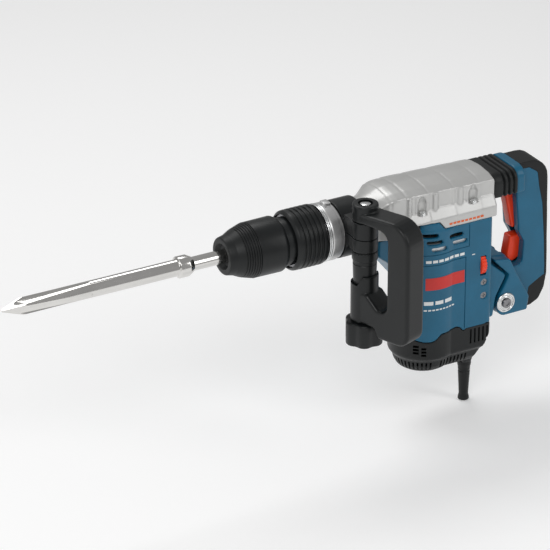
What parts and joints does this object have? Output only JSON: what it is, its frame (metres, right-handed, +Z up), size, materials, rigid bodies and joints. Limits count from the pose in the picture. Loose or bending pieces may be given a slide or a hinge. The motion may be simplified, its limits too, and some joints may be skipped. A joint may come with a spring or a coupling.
{
  "type": "demolition hammer",
  "caption": "Electric demolition hammer: pointed chisel in a slotted-shank holder, cast gear housing over an upright motor, sprung D handle and a clamp-on side handle.",
  "frame": {"origin": "centre of the small flat on the chisel's tip, on the barrel axis", "axes": "+X along the barrel axis from the chisel's tip to the rear handle, +Z up, away from the motor, -Y the side the side handle is on"},
  "size_m": [0.775, 0.1823, 0.349],
  "materials": {
    "chisel_steel": "ground and polished tool steel",
    "hardened_steel": "hardened, oiled",
    "bright_zinc": "bright zinc plated",
    "silver_paint": "light silver paint on die-cast metal",
    "aluminium": "machined",
    "blue_plastic": "satin moulded nylon, teal blue",
    "black_plastic": "fine moulded grain",
    "black_rubber": "soft matt rubber",
    "red_plastic": "orange-red moulded",
    "copper": "copper",
    "carbon": "pressed carbon",
    "electronics": "potted electronics module"
  },
  "bodies": {
    "housing": {"anvil_guide": "hardened_steel", "bearing_plate": "aluminium", "bellows": "black_rubber", "bottom_cap": "black_plastic", "brush_bridge": "black_plastic", "carbon_brush_left": "carbon", "carbon_brush_right": "carbon", "cord_gland": "black_plastic", "cord_sleeve": "black_rubber", "crank_bearing": "hardened_steel", "cylinder": "hardened_steel", "electronics_module": "electronics", "front_flange": "bright_zinc", "gear_housing": "silver_paint", "housing_screw_front_left": "bright_zinc", "housing_screw_front_right": "bright_zinc", "housing_screw_rear_left": "bright_zinc", "housing_screw_rear_right": "bright_zinc", "index_coupling": "hardened_steel", "motor_housing": "blue_plastic", "motor_lower_bearing": "hardened_steel", "motor_top_bearing": "hardened_steel", "nose_ring": "aluminium", "pivot_bolt": "hardened_steel", "stator": "hardened_steel"},
    "tool_holder": {"tool_holder": "hardened_steel", "locking_segment_left": "hardened_steel", "locking_segment_right": "hardened_steel", "dust_cap": "black_rubber", "sleeve_spring": "hardened_steel", "ring_retainer": "hardened_steel", "indexing_spring": "hardened_steel"},
    "locking_sleeve": {"locking_sleeve": "black_plastic"},
    "indexing_ring": {"indexing_ring": "black_plastic"},
    "chisel": {"chisel": "chisel_steel"},
    "anvil": {"anvil": "chisel_steel"},
    "striker": {"striker": "chisel_steel"},
    "piston": {"piston": "aluminium", "piston_pin": "hardened_steel"},
    "con_rod": {"con_rod": "hardened_steel"},
    "crank": {"crank_gear": "hardened_steel"},
    "rotor": {"armature_shaft": "hardened_steel", "armature_core": "hardened_steel", "commutator": "copper", "fan": "black_plastic"},
    "rear_handle": {"handle_shell_left": "blue_plastic", "handle_shell_right": "blue_plastic", "pivot_washer_left": "bright_zinc", "pivot_washer_right": "bright_zinc", "grip_cover": "black_rubber", "corner_pad": "black_rubber", "switch_module": "black_plastic"},
    "trigger": {"trigger": "red_plastic"},
    "lock_paddle": {"lock_paddle": "red_plastic"},
    "speed_wheel": {"speed_wheel": "red_plastic"},
    "side_clamp": {"clamp_band": "black_plastic", "toothed_spacer": "black_plastic"},
    "side_handle": {"side_handle": "black_plastic", "handle_bolt": "bright_zinc"},
    "side_knob": {"side_knob": "black_plastic"}
  },
  "joints": [
    {"name": "holder_turn", "type": "hinge", "parent": "housing", "child": "tool_holder", "pos_m": [0.311, 0, 0], "axis": [1, 0, 0], "continuous": true},
    {"name": "locking_sleeve_slide", "type": "slide", "parent": "tool_holder", "child": "locking_sleeve", "axis": [1, 0, 0], "range_m": [0, 0.0065], "stiffness_N_per_m": 1500, "springref_m": -0.003},
    {"name": "indexing_ring_slide", "type": "slide", "parent": "tool_holder", "child": "indexing_ring", "axis": [-1, 0, 0], "range_m": [0, 0.004], "stiffness_N_per_m": 2500, "springref_m": -0.002},
    {"name": "chisel_slide", "type": "slide", "parent": "tool_holder", "child": "chisel", "axis": [-1, 0, 0], "range_m": [0, 0.012]},
    {"name": "anvil_slide", "type": "slide", "parent": "housing", "child": "anvil", "axis": [-1, 0, 0], "range_m": [0, 0.002]},
    {"name": "striker_slide", "type": "slide", "parent": "housing", "child": "striker", "axis": [1, 0, 0], "range_m": [-0.005, 0.02]},
    {"name": "piston_slide", "type": "slide", "parent": "housing", "child": "piston", "axis": [1, 0, 0], "range_m": [0, 0.026]},
    {"name": "con_rod_swing", "type": "hinge", "parent": "piston", "child": "con_rod", "pos_m": [0.569, 0, 0], "axis": [0, 0, 1], "range_deg": [-14, 14]},
    {"name": "rotor_spin", "type": "hinge", "parent": "housing", "child": "rotor", "pos_m": [0.598, 0, 0], "axis": [0, 0, 1], "continuous": true},
    {"name": "crank_spin", "type": "hinge", "parent": "housing", "child": "crank", "pos_m": [0.634, 0, 0], "axis": [0, 0, 1], "continuous": true},
    {"name": "rear_handle_swing", "type": "hinge", "parent": "housing", "child": "rear_handle", "pos_m": [0.703, 0, -0.148], "axis": [0, -1, 0], "range_deg": [0, 1.2], "stiffness_Nm_per_rad": 700, "springref_deg": -0.57},
    {"name": "trigger_pull", "type": "hinge", "parent": "rear_handle", "child": "trigger", "pos_m": [0.731, 0, -0.056], "axis": [0, 1, 0], "range_deg": [0, 6], "stiffness_Nm_per_rad": 4, "springref_deg": -2.86},
    {"name": "lock_paddle_press", "type": "hinge", "parent": "rear_handle", "child": "lock_paddle", "pos_m": [0.738, 0, -0.07], "axis": [0, -1, 0], "range_deg": [0, 6], "stiffness_Nm_per_rad": 4, "springref_deg": -2.86},
    {"name": "speed_wheel_turn", "type": "hinge", "parent": "housing", "child": "speed_wheel", "pos_m": [0.662, -0.03, -0.0815], "axis": [1, 0, 0], "range_deg": [0, 270]},
    {"name": "side_clamp_swing", "type": "hinge", "parent": "housing", "child": "side_clamp", "pos_m": [0.477, 0, 0], "axis": [1, 0, 0], "range_deg": [-100, 100]},
    {"name": "side_handle_tilt", "type": "hinge", "parent": "side_clamp", "child": "side_handle", "pos_m": [0.477, -0.055, 0], "axis": [0, 0, 1], "range_deg": [-45, 30]},
    {"name": "side_knob_turn", "type": "hinge", "parent": "side_handle", "child": "side_knob", "pos_m": [0.477, -0.055, 0], "axis": [0, 0, 1], "range_deg": [0, 720]}
  ],
  "couplings": [
    {"joint": "crank_spin", "follows": "rotor_spin", "ratio": -0.2}
  ]
}
